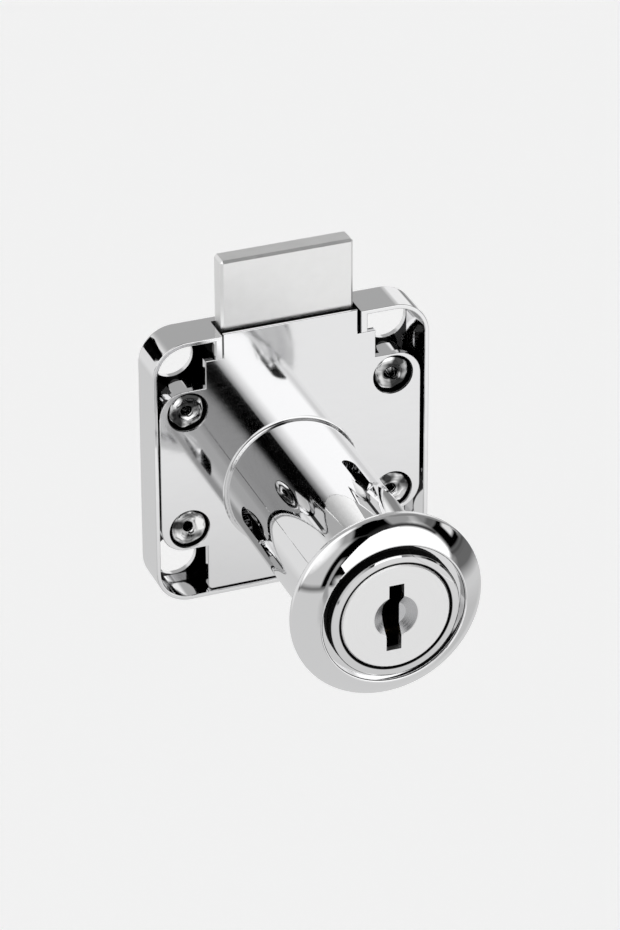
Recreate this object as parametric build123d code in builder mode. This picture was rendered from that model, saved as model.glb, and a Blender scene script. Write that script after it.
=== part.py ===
from build123d import *

import math
import os

# Drawer lock with a square case, a long barrel and a bolt that is thrown upwards.
# Millimetres. +X right, +Y into the drawer, +Z up. The key side faces -Y.
# The origin is on the barrel's axis, in the plane of the case's front rim.

# Case
case_width = 40.0
case_height = 40.0
case_depth = 6.5
case_corner = 5.0
case_wall = 0.65
case_back = 1.2
case_back_round = 0.8
case_rise = 4.5
case_rim_round = 0.15

# Cover plate, one casting with the barrel
cover_sunk = 0.5
cover_thickness = 1.0
cover_gap = 0.4
cover_foot_gap = 0.15
cover_corner = 3.6
cover_arm_inset = 7.7
cover_arm_drop = 3.6
cover_ear_drop = 7.7
cover_tab_gap = 0.25
cover_foot_corner = 0.6
cover_edge_round = 0.12

# Screw holes in the corners of the case
screw_inset = 4.5
screw_hole_radius = 3.1
screw_hole_chamfer = 0.4

# Staked posts that hold the cover on the case
stake_inset_x = 5.1
stake_inset_z = 10.9
stake_radius = 1.65
stake_clearance = 0.1
stake_bore_radius = 0.9
stake_bore_depth = 2.6
stake_head_radius = 2.2
stake_head_height = 0.6
stake_head_round = 0.4
stake_head_gap = 0.03
seat_mouth_radius = 2.95
seat_floor_radius = 2.55
seat_depth = 1.9
seat_boss_radius = 3.15
seat_boss_height = 2.5
case_boss_radius = 3.0
case_boss_gap = 0.05

# Bolt
bolt_width = 19.0
bolt_thickness = 3.0
bolt_top = 34.8
bolt_travel = 10.0
bolt_chamfer = 0.35
bolt_foot = 2.4
bolt_face_gap = 0.1
bolt_side_gap = 0.1
notch_gap = 0.45
rail_width = 1.2
rail_offset = 7.0
guide_width = 1.0
guide_drop = 2.7
guide_length = 12.0
guide_clearance = 0.2

# Barrel
barrel_radius = 9.55
barrel_nose_radius = 9.1
barrel_front = 37.9
nose_length = 2.0
nose_chamfer = 0.3
barrel_fillet = 0.5
bore_clearance = 0.05
band_angles = (112.0, 153.0)
band_depth = 0.06
retaining_groove_depth = 1.0
retaining_groove_gap = 0.2
wafer_groove_gap = 0.25

# Windows and flute on the outside of the barrel, as angle from +X and distance in front of the rim
left_window_angle = 178.0
left_window_centre = 9.2
left_window_width = 2.4
left_window_length = 7.5
top_window_angle = 70.0
top_window_centre = 15.3
top_window_width = 2.1
top_window_length = 7.0
scoop_length = 7.0
scoop_radius = 1.5
scoop_tip = 0.05
flute_angle = 48.0
flute_start = 16.4
flute_step = 0.2
flute_lean = 3.7
flute_width = 6.2
flute_nose = 5.0
flute_spread = 10.0
flute_cut = 3.0

# Escutcheon, the collar on the barrel's nose
collar_radius = 13.45
collar_back_inset = 4.7
collar_back_round = 1.0
collar_side = 0.2
collar_edge_round = 0.8
collar_edge_turn = 40.0
collar_crown_inset = 0.6
collar_mouth_radius = 10.05
collar_mouth_round = 0.3
collar_web = 0.5
collar_fit = 0.05
collar_relief_depth = 1.5
collar_relief_inner = 10.8
collar_relief_outer = 11.9

# Plug
plug_radius = 7.0
plug_head_radius = 7.65
plug_head_length = 2.5
plug_head_clearance = 0.15
plug_proud = 0.1
plug_edge = 0.2
dimple_radius = 3.1
dimple_floor_radius = 1.7
dimple_depth = 0.9
keyway_depth = 23.5
# the keyway's outline, as x and z
keyway_outline = [
    (-1.0, 4.8),
    (1.1, 4.8),
    (1.1, 2.6),
    (0.75, 1.2),
    (0.75, -5.0),
    (-1.35, -5.0),
    (-1.35, -3.2),
    (-1.7, 0.2),
    (-1.7, 2.0),
    (-1.0, 2.9),
]
drive_pin_radius = 1.4
drive_pin_offset = bolt_travel / 2
drive_pin_gap = 0.15
drive_pin_seat = 4.0

# Wafers and their springs
wafer_count = 6
wafer_inset = 5.0
wafer_pitch = 3.0
wafer_thickness = 0.9
wafer_width = 5.0
wafer_play = 0.05
wafer_lift = 1.0
wafer_window_width = 3.4
wafer_window_top = 3.4
wafer_window_bottom = -4.6
ear_reach = 4.15
ear_bottom = 0.4
ear_height = 1.2
spring_x = 3.4
spring_radius = 0.75
spring_wire = 0.25
spring_foot = -4.8
spring_play = 0.1

# Retaining wafer at the plug's inner end, with its spring
retainer_centre = 9.3
retainer_thickness = 1.8
retainer_width = 4.4
retainer_throw = 0.75
retainer_travel = 1.0
retainer_top = -1.0
retainer_spring_top = 3.6
retainer_spring_radius = 1.1

plug_face = barrel_front + plug_proud
collar_back = barrel_front - collar_back_inset
collar_crown = barrel_front - collar_crown_inset
shoulder = barrel_front - nose_length
cover_front = cover_sunk
cover_back = cover_sunk + cover_thickness
back_inside = case_depth - case_back
bolt_front = cover_back + bolt_face_gap
bolt_back = bolt_front + bolt_thickness
half_width = case_width / 2
half_height = case_height / 2
bore_radius = plug_radius + bore_clearance
pin_lag_angle = math.asin(2 / math.pi)
pin_lag = drive_pin_offset * (math.cos(pin_lag_angle) - 1 + 2 * pin_lag_angle / math.pi)
bolt_slot_half = drive_pin_radius + pin_lag + drive_pin_gap
bolt_slot_reach = drive_pin_offset + drive_pin_radius + drive_pin_gap
bolt_bottom = drive_pin_offset - bolt_slot_half - bolt_foot
stake_x = half_width - stake_inset_x
stake_z = half_height - stake_inset_z
stake_points = [
    (sx * stake_x, case_rise + sz * stake_z) for sx in (-1, 1) for sz in (-1, 1)
]
seat_floor = cover_front + seat_depth
seat_boss_back = cover_back + seat_boss_height
case_boss_front = seat_boss_back + case_boss_gap
wafer_places = [plug_face - wafer_inset - k * wafer_pitch for k in range(wafer_count)]
wafer_slot_height = 2 * (plug_radius + wafer_lift)


def at(y):
    """The plane at this depth, looked at from the key side."""
    return Plane.XZ.offset(-y)


def around(angle, y, radius):
    """A plane that lies on the barrel's surface, its x axis along +Y and its normal outwards."""
    turn = math.radians(angle)
    out = (math.cos(turn), 0, math.sin(turn))
    return Plane(origin=(radius * out[0], y, radius * out[2]), x_dir=(0, 1, 0), z_dir=out)


# Case: a square tray, open to the front, with the bolt's notch in its top wall
with BuildPart() as case:
    with BuildSketch(at(case_depth)):
        with Locations((0, case_rise)):
            RectangleRounded(case_width, case_height, case_corner)
    extrude(amount=case_depth)
    fillet(case.faces().sort_by(Axis.Y)[-1].edges(), case_back_round)
    with BuildSketch(at(back_inside)):
        with Locations((0, case_rise)):
            RectangleRounded(
                case_width - 2 * case_wall,
                case_height - 2 * case_wall,
                case_corner - case_wall,
            )
    extrude(amount=back_inside, mode=Mode.SUBTRACT)
    # bosses that the cover's own bosses stand on
    with BuildSketch(at(back_inside)):
        with Locations(*stake_points):
            Circle(case_boss_radius)
    extrude(amount=back_inside - case_boss_front)
    # rails that carry the bolt clear of the back
    with BuildSketch(at(back_inside)):
        rail_height = case_rise + half_height - case_wall - bolt_bottom + bolt_travel
        with Locations(
            *[(s * rail_offset, bolt_bottom - bolt_travel + rail_height / 2) for s in (-1, 1)]
        ):
            Rectangle(rail_width, rail_height)
    extrude(amount=back_inside - bolt_back - bolt_face_gap)
    # guides on both sides of the bolt's foot
    guide_x = bolt_width / 2 + bolt_side_gap + guide_width / 2
    with BuildSketch(at(back_inside)):
        with Locations(*[(s * guide_x, bolt_bottom - bolt_travel + guide_length / 2) for s in (-1, 1)]):
            Rectangle(guide_width, guide_length)
    extrude(amount=back_inside - cover_back - guide_clearance)
    # the notch for the bolt, and a rib down each side of it
    notch_half = bolt_width / 2 + notch_gap
    case_top = case_rise + half_height
    with BuildSketch(at(back_inside)):
        with Locations(
            *[(s * (notch_half + guide_width / 2), case_top - case_wall - guide_drop / 2) for s in (-1, 1)]
        ):
            Rectangle(guide_width, guide_drop)
    extrude(amount=back_inside)
    notch_back = bolt_back + bolt_face_gap
    with BuildSketch(at(notch_back)):
        with Locations((0, case_top - case_wall)):
            Rectangle(2 * notch_half, 4 * case_wall)
    extrude(amount=notch_back + case_wall, mode=Mode.SUBTRACT)
    # holes for the fixing screws, eased at the back
    with BuildSketch(at(case_depth)):
        with Locations((0, case_rise)):
            with GridLocations(
                case_width - 2 * screw_inset, case_height - 2 * screw_inset, 2, 2
            ):
                Circle(screw_hole_radius)
    extrude(amount=case_back, mode=Mode.SUBTRACT)
    screw_edges = (
        case.edges()
        .filter_by(GeomType.CIRCLE)
        .filter_by(lambda e: abs(e.center().Y - case_depth) < 0.01)
        .filter_by(lambda e: abs(e.radius - screw_hole_radius) < 0.01)
    )
    chamfer(screw_edges, screw_hole_chamfer)
    # the rim's edges, softened by the plating
    rim_edges = case.faces().sort_by(Axis.Y)[0].edges()
    fillet(rim_edges, case_rim_round)
    # hollow posts, spun over in the cover's seats
    head_under = seat_floor - stake_head_gap
    head_tip = head_under - stake_head_height
    with BuildSketch(at(case_boss_front)):
        with Locations(*stake_points):
            Circle(stake_radius)
    extrude(amount=case_boss_front - head_under)
    with BuildSketch(at(head_under)):
        with Locations(*stake_points):
            Circle(stake_head_radius)
    extrude(amount=stake_head_height)
    head_edges = (
        case.edges()
        .filter_by(GeomType.CIRCLE)
        .filter_by(lambda e: abs(e.center().Y - head_tip) < 0.01)
    )
    fillet(head_edges, stake_head_round)
    with BuildSketch(at(head_tip + stake_bore_depth)):
        with Locations(*stake_points):
            Circle(stake_bore_radius)
    extrude(amount=stake_bore_depth, mode=Mode.SUBTRACT)
case.part.label = "case"

# Cover: the plate with four ears, and the barrel that stands out of it
cover_edge = half_width - case_wall - cover_gap
cover_bottom = half_height - case_wall - cover_foot_gap
tab_half = notch_half - cover_tab_gap
cover_arm_half = half_width - cover_arm_inset
cover_arm_height = half_height - cover_arm_drop
cover_ear_height = half_height - cover_ear_drop
with BuildPart() as cover:
    with BuildSketch(at(cover_back)):
        with Locations((0, case_rise)):
            Rectangle(2 * cover_edge, 2 * cover_ear_height)
            Rectangle(2 * cover_arm_half, 2 * cover_arm_height)
        with Locations((0, case_rise - cover_bottom / 2)):
            Rectangle(2 * cover_arm_half, cover_bottom)
        with Locations((0, case_rise + half_height / 2)):
            Rectangle(2 * tab_half, half_height)
    extrude(amount=cover_thickness)
    ear_edges = (
        cover.edges()
        .filter_by(Axis.Y)
        .filter_by(lambda e: abs(abs(e.center().X) - cover_edge) < 0.01)
    )
    fillet(ear_edges, cover_corner)
    foot_edges = cover.edges().filter_by(Axis.Y).group_by(Axis.Z)[0]
    fillet(foot_edges, cover_foot_corner)
    fillet(cover.faces().sort_by(Axis.Y)[0].outer_wire().edges(), cover_edge_round)
    # a boss behind each ear, as deep as the seat for the spun post needs
    with BuildSketch(at(seat_boss_back)):
        with Locations(*stake_points):
            Circle(seat_boss_radius)
    extrude(amount=seat_boss_height + cover_thickness / 2)
    with BuildSketch(at(cover_front)):
        Circle(barrel_radius)
    extrude(amount=shoulder + cover_front)
    root_edge = (
        cover.edges()
        .filter_by(GeomType.CIRCLE)
        .filter_by(lambda e: abs(e.center().Y - cover_front) < 0.01 and abs(e.radius - barrel_radius) < 0.01)
    )
    fillet(root_edge, barrel_fillet)
    with BuildSketch(at(-shoulder)):
        Circle(barrel_nose_radius)
    extrude(amount=nose_length)
    chamfer(cover.faces().sort_by(Axis.Y)[0].edges(), nose_chamfer)
    # fine steps along the barrel, where the casting dies met
    with BuildSketch(at(-barrel_fillet)):
        for turn in (0, 180):
            with BuildLine():
                first = band_angles[0] + turn
                last = band_angles[1] + turn
                inner = barrel_radius - band_depth
                outer = barrel_radius + band_depth
                CenterArc((0, 0), inner, first, last - first)
                CenterArc((0, 0), outer, first, last - first)
                Line(
                    PolarLocations(inner, 1, first).locations[0].position,
                    PolarLocations(outer, 1, first).locations[0].position,
                )
                Line(
                    PolarLocations(inner, 1, last).locations[0].position,
                    PolarLocations(outer, 1, last).locations[0].position,
                )
            make_face()
    extrude(amount=collar_back - barrel_fillet, mode=Mode.SUBTRACT)
    # bore for the plug, wider at the mouth for its head
    with BuildSketch(at(cover_back)):
        Circle(bore_radius)
    extrude(amount=cover_back + barrel_front, mode=Mode.SUBTRACT)
    head_back = plug_face - plug_head_length
    with BuildSketch(at(-head_back)):
        Circle(plug_head_radius + plug_head_clearance)
    extrude(amount=barrel_front - head_back, mode=Mode.SUBTRACT)
    # ring groove that the retaining wafer springs into
    groove_half = retainer_thickness / 2 + retaining_groove_gap
    with BuildSketch(at(-(retainer_centre - groove_half))):
        Circle(bore_radius + retaining_groove_depth)
    extrude(amount=2 * groove_half, mode=Mode.SUBTRACT)
    # grooves above and below the plug that the wafers lock into
    groove_start = wafer_places[-1] - wafer_thickness / 2 - wafer_groove_gap
    groove_end = wafer_places[0] + wafer_thickness / 2 + wafer_groove_gap
    with BuildSketch(at(-groove_start)):
        Rectangle(
            wafer_width + 2 * wafer_groove_gap,
            wafer_slot_height + 2 * wafer_groove_gap,
        )
    extrude(amount=groove_end - groove_start, mode=Mode.SUBTRACT)
    # windows through the barrel wall, each with a scoop that fades out towards the nose
    for angle, centre, width, length in (
        (left_window_angle, left_window_centre, left_window_width, left_window_length),
        (top_window_angle, top_window_centre, top_window_width, top_window_length),
    ):
        with BuildSketch(around(angle, -centre, bore_radius / 2)):
            SlotOverall(length, width)
        extrude(amount=barrel_radius, mode=Mode.SUBTRACT)
        scoop_base = centre + length / 2 - width / 2
        turn = math.radians(angle)
        scoop_plane = Plane(
            origin=(barrel_radius * math.cos(turn), -scoop_base, barrel_radius * math.sin(turn)),
            z_dir=(0, -1, 0),
        )
        with Locations(scoop_plane):
            Cone(
                scoop_radius,
                scoop_tip,
                scoop_length,
                align=(Align.CENTER, Align.CENTER, Align.MIN),
                mode=Mode.SUBTRACT,
            )
    # flat flute with a rounded end, which leans in and runs out under the collar
    turn = math.radians(flute_angle)
    lean = math.radians(flute_lean)
    flute_foot = barrel_radius - flute_step
    flute_plane = Plane(
        origin=(flute_foot * math.cos(turn), -flute_start, flute_foot * math.sin(turn)),
        x_dir=(-math.sin(turn), 0, math.cos(turn)),
        z_dir=(
            math.cos(turn) * math.cos(lean),
            -math.sin(lean),
            math.sin(turn) * math.cos(lean),
        ),
    )
    with BuildSketch(flute_plane):
        with Locations((0, flute_nose)):
            Ellipse(flute_width / 2, flute_nose)
        Polygon(
            (-flute_width / 2, flute_nose),
            (flute_width / 2, flute_nose),
            (flute_spread / 2, collar_back - flute_start),
            (-flute_spread / 2, collar_back - flute_start),
            align=None,
        )
    extrude(amount=flute_cut, mode=Mode.SUBTRACT)
    # deep seats for the spun posts, each with a hole for the post in its floor
    for x, z in stake_points:
        with Locations(Plane(origin=(x, seat_floor, z), z_dir=(0, -1, 0))):
            Cone(
                seat_floor_radius,
                seat_mouth_radius,
                seat_depth,
                align=(Align.CENTER, Align.CENTER, Align.MIN),
                mode=Mode.SUBTRACT,
            )
    with BuildSketch(at(seat_boss_back)):
        with Locations(*stake_points):
            Circle(stake_radius + stake_clearance)
    extrude(amount=seat_boss_back - seat_floor, mode=Mode.SUBTRACT)
cover.part.label = "cover_and_barrel"

# Escutcheon: a domed collar pushed on to the barrel's nose
collar_bore = barrel_radius + collar_fit
web_radius = barrel_nose_radius + collar_fit
side_start = -collar_back - collar_back_round
side_end = side_start - collar_side
edge_turn = math.radians(collar_edge_turn)
dome_start = (
    collar_radius - collar_edge_round * (1 - math.cos(edge_turn)),
    side_end - collar_edge_round * math.sin(edge_turn),
)
with BuildPart() as escutcheon:
    with BuildSketch(Plane.XY):
        with BuildLine():
            Polyline(
                (collar_bore, -collar_back),
                (collar_relief_inner, -collar_back),
                (collar_relief_inner, -collar_back - collar_relief_depth),
                (collar_relief_outer, -collar_back - collar_relief_depth),
                (collar_relief_outer, -collar_back),
                (collar_radius - collar_back_round, -collar_back),
            )
            TangentArc(
                (collar_radius - collar_back_round, -collar_back),
                (collar_radius, side_start),
                tangent=(1, 0),
            )
            Line((collar_radius, side_start), (collar_radius, side_end))
            edge = TangentArc((collar_radius, side_end), dome_start, tangent=(0, -1))
            crown = (collar_mouth_radius + collar_mouth_round, -collar_crown)
            dome = TangentArc(dome_start, crown, tangent=edge % 1)
            mouth = (collar_mouth_radius, -collar_crown + collar_mouth_round)
            TangentArc(crown, mouth, tangent=dome % 1)
            Polyline(
                mouth,
                (collar_mouth_radius, -shoulder - collar_web),
                (web_radius, -shoulder - collar_web),
                (web_radius, -shoulder),
                (collar_bore, -shoulder),
                (collar_bore, -collar_back),
            )
        make_face()
    revolve(axis=Axis.Y)
escutcheon.part.label = "escutcheon"

# Plug: turned by the key
with BuildPart() as plug:
    with BuildSketch(at(cover_back)):
        Circle(plug_radius)
    extrude(amount=cover_back + plug_face)
    with BuildSketch(at(-head_back)):
        Circle(plug_head_radius)
    extrude(amount=plug_head_length)
    chamfer(plug.faces().sort_by(Axis.Y)[0].edges(), plug_edge)
    with BuildSketch(at(cover_back)):
        with Locations((0, drive_pin_offset)):
            Circle(drive_pin_radius)
    extrude(amount=drive_pin_seat, mode=Mode.SUBTRACT)
    # keyway and the round dimple that leads the key in
    with BuildSketch(at(-(plug_face - keyway_depth))):
        with BuildLine():
            Polyline(*keyway_outline, close=True)
        make_face()
    extrude(amount=keyway_depth, mode=Mode.SUBTRACT)
    with Locations(at(-plug_face)):
        Cone(
            dimple_floor_radius,
            dimple_radius,
            dimple_depth,
            align=(Align.CENTER, Align.CENTER, Align.MAX),
            mode=Mode.SUBTRACT,
        )
    # a slot for each wafer, with room for its ear and its spring
    for place in wafer_places:
        slot_half = wafer_thickness / 2 + wafer_play
        with BuildSketch(at(-(place - slot_half))):
            Rectangle(wafer_width + 2 * wafer_play, wafer_slot_height)
        extrude(amount=2 * slot_half, mode=Mode.SUBTRACT)
        ear_room = ear_bottom + ear_height + wafer_lift + wafer_play - spring_foot
        with BuildSketch(at(-(place - slot_half))):
            with Locations((-ear_reach / 2 - wafer_play, spring_foot + ear_room / 2)):
                Rectangle(ear_reach, ear_room)
        extrude(amount=2 * slot_half, mode=Mode.SUBTRACT)
        with BuildSketch(Plane.XY.offset(spring_foot)):
            with Locations((-spring_x, -place)):
                Circle(spring_radius + spring_play)
        extrude(amount=ear_room, mode=Mode.SUBTRACT)
    # pocket for the retaining wafer and its spring
    pocket_half = retainer_thickness / 2 + wafer_play
    with BuildSketch(at(-(retainer_centre - pocket_half))):
        pocket_top = retainer_top + retainer_travel + wafer_play
        with Locations((0, pocket_top - plug_radius)):
            Rectangle(retainer_width + 2 * wafer_play, 2 * plug_radius)
    extrude(amount=2 * pocket_half, mode=Mode.SUBTRACT)
    with BuildSketch(Plane.XY.offset(retainer_top)):
        with Locations((0, -retainer_centre)):
            Circle(retainer_spring_radius + spring_play)
    extrude(amount=retainer_spring_top - retainer_top, mode=Mode.SUBTRACT)
plug.part.label = "plug"

# Drive pin: stands off the plug's centre and moves the bolt
with BuildPart() as drive_pin:
    with BuildSketch(at(bolt_back)):
        with Locations((0, drive_pin_offset)):
            Circle(drive_pin_radius)
    extrude(amount=bolt_back - cover_back + drive_pin_seat)
drive_pin.part.label = "drive_pin"

# Bolt: a plain block with a cross slot for the drive pin
with BuildPart() as bolt:
    with BuildSketch(at(bolt_back)):
        with Locations((0, (bolt_top + bolt_bottom) / 2)):
            Rectangle(bolt_width, bolt_top - bolt_bottom)
    extrude(amount=bolt_thickness)
    chamfer(bolt.edges(), bolt_chamfer)
    with BuildSketch(at(bolt_back)):
        with Locations((0, drive_pin_offset)):
            RectangleRounded(2 * bolt_slot_reach, 2 * bolt_slot_half, drive_pin_radius)
    extrude(amount=bolt_thickness, mode=Mode.SUBTRACT)
bolt.part.label = "bolt"

made = {
    "case": case,
    "cover_and_barrel": cover,
    "escutcheon": escutcheon,
    "plug": plug,
    "drive_pin": drive_pin,
    "bolt": bolt,
}

# Wafers: brass plates with a window for the key, each pushed up by a spring under its ear
for number, place in enumerate(wafer_places, start=1):
    with BuildPart() as wafer:
        with BuildSketch(at(-(place - wafer_thickness / 2))):
            Circle(plug_radius - wafer_play)
            Rectangle(wafer_width, wafer_slot_height, mode=Mode.INTERSECT)
            with Locations((-ear_reach / 2, ear_bottom + ear_height / 2)):
                Rectangle(ear_reach, ear_height)
            window_height = wafer_window_top - wafer_window_bottom
            with Locations((0, (wafer_window_top + wafer_window_bottom) / 2)):
                Rectangle(wafer_window_width, window_height, mode=Mode.SUBTRACT)
        extrude(amount=wafer_thickness)
    wafer.part.label = f"wafer_{number}"
    made[wafer.part.label] = wafer
    with BuildPart() as spring:
        with BuildSketch(Plane.XY.offset(spring_foot)):
            with Locations((-spring_x, -place)):
                Circle(spring_radius)
                Circle(spring_radius - spring_wire, mode=Mode.SUBTRACT)
        extrude(amount=ear_bottom - spring_foot)
    spring.part.label = f"wafer_spring_{number}"
    made[spring.part.label] = spring

# Retaining wafer: springs down into the barrel's ring groove and keeps the plug in
with BuildPart() as retainer:
    with BuildSketch(at(-(retainer_centre - retainer_thickness / 2))):
        Circle(plug_radius + retainer_throw)
        with Locations((0, retainer_top - plug_radius)):
            Rectangle(retainer_width, 2 * plug_radius, mode=Mode.INTERSECT)
    extrude(amount=retainer_thickness)
retainer.part.label = "retaining_wafer"
made[retainer.part.label] = retainer

with BuildPart() as retainer_spring:
    with BuildSketch(Plane.XY.offset(retainer_top)):
        with Locations((0, -retainer_centre)):
            Circle(retainer_spring_radius)
            Circle(retainer_spring_radius - spring_wire, mode=Mode.SUBTRACT)
    extrude(amount=retainer_spring_top - retainer_top)
retainer_spring.part.label = "retainer_spring"
made[retainer_spring.part.label] = retainer_spring

os.makedirs("parts", exist_ok=True)
for name, piece in made.items():
    export_step(piece.part, f"parts/{name}.step")
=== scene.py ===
# %% [markdown]
# A drawer lock in a photographer's studio. The solids of the lock come from the CAD model, with
# their places and sizes fixed. This file gives them their metal finishes, adds the few pieces that
# are too fine for the solids, and sets up the camera, the studio and the floor.

# %% Load the lock
import bpy
import math
from mathutils import Matrix, Vector


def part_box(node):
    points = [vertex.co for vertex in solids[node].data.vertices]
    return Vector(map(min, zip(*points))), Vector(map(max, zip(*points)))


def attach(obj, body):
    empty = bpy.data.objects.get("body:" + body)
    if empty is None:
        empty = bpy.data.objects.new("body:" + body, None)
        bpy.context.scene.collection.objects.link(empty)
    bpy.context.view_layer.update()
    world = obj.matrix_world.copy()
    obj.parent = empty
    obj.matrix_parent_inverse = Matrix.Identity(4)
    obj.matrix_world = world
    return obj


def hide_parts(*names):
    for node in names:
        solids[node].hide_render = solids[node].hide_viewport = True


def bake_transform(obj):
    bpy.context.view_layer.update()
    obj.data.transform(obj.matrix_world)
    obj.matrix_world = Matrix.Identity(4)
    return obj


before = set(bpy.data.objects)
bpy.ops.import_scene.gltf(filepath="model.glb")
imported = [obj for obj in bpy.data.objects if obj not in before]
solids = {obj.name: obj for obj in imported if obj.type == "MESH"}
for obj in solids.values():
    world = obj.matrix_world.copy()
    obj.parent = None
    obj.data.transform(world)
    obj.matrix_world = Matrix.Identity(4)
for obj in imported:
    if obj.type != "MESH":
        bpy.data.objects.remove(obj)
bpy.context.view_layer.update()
MM = 0.001

# %% [markdown]
# The camera stands to the left of the lock, above it and far away, with a long lens. A long lens
# keeps the edges of the case nearly parallel, as they are in the photograph. The camera turns
# towards the middle of the case and is then moved a little across its own view, which frames the
# long barrel without bending the perspective.

# %% Place of the camera
AZIMUTH = math.radians(-20.88)
ELEVATION = math.radians(29.52)
ROLL = math.radians(-0.2)
DISTANCE = 654.75 * MM
CASE_CENTRE = Vector((0, 0, 4.5 * MM))
TO_THE_RIGHT = 2.344 * MM
UPWARDS = -1.564 * MM
FOCAL_PIXELS = 4793
FRAME_WIDTH = 620
SENSOR_WIDTH = 36
NEAREST_SEEN = 0.01


def way_to(azimuth, height):
    """The direction at these two angles, seen from the lock."""
    flat = math.cos(height)
    return Vector((math.sin(azimuth) * flat, -math.cos(azimuth) * flat, math.sin(height)))


toward_camera = way_to(AZIMUTH, ELEVATION)
level_right = Vector((0, 0, 1)).cross(toward_camera).normalized()
level_up = toward_camera.cross(level_right)
right = level_right * math.cos(ROLL) + level_up * math.sin(ROLL)
up = level_up * math.cos(ROLL) - level_right * math.sin(ROLL)
eye = CASE_CENTRE + toward_camera * DISTANCE + right * TO_THE_RIGHT + up * UPWARDS
print("the camera stands", round(DISTANCE * 100), "cm away")

# %% Camera
camera_data = bpy.data.cameras.new("studio_camera")
camera_data.sensor_fit = "HORIZONTAL"
camera_data.sensor_width = SENSOR_WIDTH
camera_data.lens = FOCAL_PIXELS / FRAME_WIDTH * SENSOR_WIDTH
camera_data.clip_start = NEAREST_SEEN
camera = bpy.data.objects.new("studio_camera", camera_data)
pose = Matrix((right, up, toward_camera)).transposed().to_4x4()
pose.translation = eye
camera.matrix_world = pose
bpy.context.scene.collection.objects.link(camera)
bpy.context.scene.camera = camera
print("the lens is", round(camera_data.lens), "mm long")

# %% [markdown]
# Mirror chrome has no colour of its own: it shows the studio. So the studio is what makes it look
# like chrome. Lamps and real panels would do, but they bring noise and have to be moved for every
# change. Here the studio is drawn in the world instead: a pale room, with cards hung in it. A card
# is a soft-edged patch of direction with its own brightness. The bright ones are softboxes and the
# dark ones are the flags that give chrome its black lines.
#
# Directions are in degrees. Azimuth is 0 in front of the lock and grows to its right, elevation is
# 0 at the horizon and 90 overhead. A card behind the lock counts its azimuth from straight behind.

# %% World, and nodes that reckon
world = bpy.data.worlds.new("studio")
bpy.context.scene.world = world
world.use_nodes = True
sky = world.node_tree
sky.nodes.clear()


def connect(tree, value, socket):
    """Feeds an input, by a link from a socket or by a plain value."""
    if hasattr(value, "links"):
        tree.links.new(value, socket)
    else:
        socket.default_value = value


def maths(tree, operation, *values, clamp=False):
    """A Math node, fed by sockets or numbers. Gives its result socket."""
    node = tree.nodes.new("ShaderNodeMath")
    node.operation = operation
    node.use_clamp = clamp
    for socket, value in zip(node.inputs, values):
        connect(tree, value, socket)
    return node.outputs[0]


def vector_maths(tree, operation, *values):
    """A Vector Math node, fed by sockets or vectors. Gives its result socket."""
    node = tree.nodes.new("ShaderNodeVectorMath")
    node.operation = operation
    inputs = (node.inputs[0], node.inputs["Scale"]) if operation == "SCALE" else node.inputs
    for socket, value in zip(inputs, values):
        connect(tree, value, socket)
    return node.outputs["Value" if operation == "DOT_PRODUCT" else "Vector"]


print("the studio is the world called", world.name)


# %% Masks
def all_of(tree, first, *others):
    """1 where all of these masks are 1."""
    for mask in others:
        first = maths(tree, "MULTIPLY", first, mask)
    return first


def any_of(tree, first, *others):
    """1 where at least one of these masks is 1."""
    for mask in others:
        first = maths(tree, "MAXIMUM", first, mask)
    return first


def opposite(tree, mask):
    """1 where the mask is 0, and 0 where it is 1."""
    return maths(tree, "SUBTRACT", 1.0, mask)


print("a mask is 1 inside its patch and 0 outside it")

# %% Angles of each direction
direction = sky.nodes.new("ShaderNodeTexCoord").outputs["Generated"]
parts_of_direction = sky.nodes.new("ShaderNodeSeparateXYZ")
sky.links.new(direction, parts_of_direction.inputs[0])
to_right, to_back, to_top = parts_of_direction.outputs
DEGREES = 180 / math.pi
to_front = maths(sky, "MULTIPLY", to_back, -1.0)
from_front = maths(sky, "MULTIPLY", maths(sky, "ARCTAN2", to_right, to_front), DEGREES)
from_behind = maths(sky, "MULTIPLY", maths(sky, "ARCTAN2", to_right, to_back), DEGREES)
elevation = maths(sky, "MULTIPLY", maths(sky, "ARCSINE", to_top), DEGREES)
print("the angles take", len(sky.nodes), "nodes")


# %% Patches of direction
def band(angle, low, high, softness):
    """1 for angles between low and high, 0 outside them, with edges this soft."""
    away = maths(sky, "ABSOLUTE", maths(sky, "SUBTRACT", angle, (low + high) / 2))
    inside = maths(sky, "SUBTRACT", (high - low) / 2 + softness / 2, away)
    return maths(sky, "DIVIDE", inside, softness, clamp=True)


def distance_from(azimuth, height):
    """How many degrees each direction is away from this one."""
    middle = way_to(math.radians(azimuth), math.radians(height))
    cosine = vector_maths(sky, "DOT_PRODUCT", direction, middle)
    return maths(sky, "MULTIPLY", maths(sky, "ARCCOSINE", cosine), DEGREES)


print("straight ahead is azimuth 0 and elevation 0")

# %% Cards
WALL_BRIGHTNESS = 0.64
brightness = WALL_BRIGHTNESS
cards_hung = 0


def hang(mask, level):
    """Puts a card in front of those already there."""
    global brightness, cards_hung
    uncovered = maths(sky, "MULTIPLY", opposite(sky, mask), brightness)
    brightness = maths(sky, "ADD", uncovered, maths(sky, "MULTIPLY", mask, level))
    cards_hung += 1


def card(azimuths, elevations, level, softness=3.0, azimuth=from_front):
    """A card with straight sides, between two azimuths and two elevations."""
    across = band(azimuth, *azimuths, softness)
    hang(all_of(sky, across, band(elevation, *elevations, softness)), level)


def round_card(middle, radius, level, softness=3.0, azimuths=(-180, 180), elevations=(-90, 90)):
    """A round card about a direction, cut off at these azimuths and elevations."""
    disc = band(distance_from(*middle), -radius, radius, softness)
    across = band(from_front, *azimuths, softness)
    hang(all_of(sky, disc, across, band(elevation, *elevations, softness)), level)


print("bare walls have a brightness of", WALL_BRIGHTNESS)

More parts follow.
